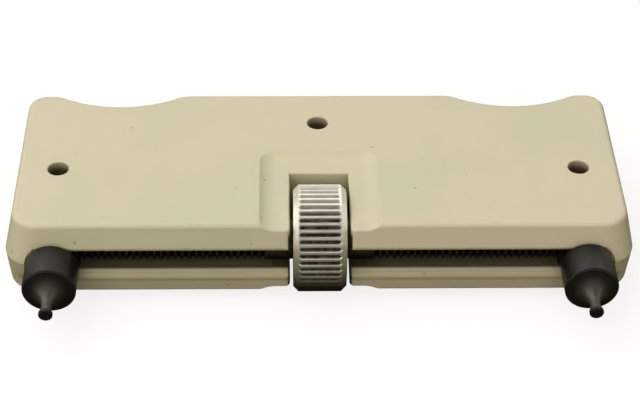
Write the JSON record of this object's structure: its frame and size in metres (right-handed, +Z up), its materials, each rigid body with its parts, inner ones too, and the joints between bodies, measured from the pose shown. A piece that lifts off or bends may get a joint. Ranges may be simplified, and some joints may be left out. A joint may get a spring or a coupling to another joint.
{
  "type": "case back opener",
  "caption": "Flat hand tool with a front thumbwheel that draws two turned claws together or apart along a slot, for unscrewing notched watch case backs.",
  "frame": {"origin": "centre of the base of the bounding box, straight under the thumbwheel", "axes": "+X along the handle and the lead screw, claws towards -Y, +Z up through the handle's flat face"},
  "size_m": [0.0896, 0.0434, 0.0154],
  "materials": {
    "ivory_moulding": "fine satin moulded texture, warm ivory",
    "nickel_knurl": "nickel-plated, worn satin",
    "black_oxide": "black oxide, turned, oiled satin",
    "ground_steel": "bright ground steel",
    "zinc_steel": "zinc plated",
    "bush_brass": "turned brass"
  },
  "bodies": {
    "handle": {"upper_shell": "ivory_moulding", "lower_shell": "ivory_moulding", "end_bush_left": "bush_brass", "end_bush_right": "bush_brass", "insert_left": "bush_brass", "insert_right": "bush_brass", "insert_rear": "bush_brass", "case_screw_left": "zinc_steel", "case_screw_right": "zinc_steel", "case_screw_rear": "zinc_steel"},
    "spindle": {"thumbwheel": "nickel_knurl", "lead_screw": "black_oxide", "thrust_washer_left": "ground_steel", "thrust_washer_right": "ground_steel"},
    "left_carriage": {"carriage_left": "black_oxide", "claw_left": "black_oxide", "claw_dowel_left": "ground_steel"},
    "right_carriage": {"carriage_right": "black_oxide", "claw_right": "black_oxide", "claw_dowel_right": "ground_steel"}
  },
  "joints": [
    {"name": "wheel_turn", "type": "hinge", "parent": "handle", "child": "spindle", "pos_m": [0, -0.00537, 0.0077], "axis": [1, 0, 0], "range_deg": [0, 9828]},
    {"name": "left_claw_slide", "type": "slide", "parent": "handle", "child": "left_carriage", "axis": [1, 0, 0], "range_m": [0, 0.0274]},
    {"name": "right_claw_slide", "type": "slide", "parent": "handle", "child": "right_carriage", "axis": [-1, 0, 0], "range_m": [0, 0.0274]}
  ],
  "couplings": [
    {"joint": "left_claw_slide", "follows": "wheel_turn", "m_per_rad": 0.00015915},
    {"joint": "right_claw_slide", "follows": "wheel_turn", "m_per_rad": 0.00015915}
  ]
}
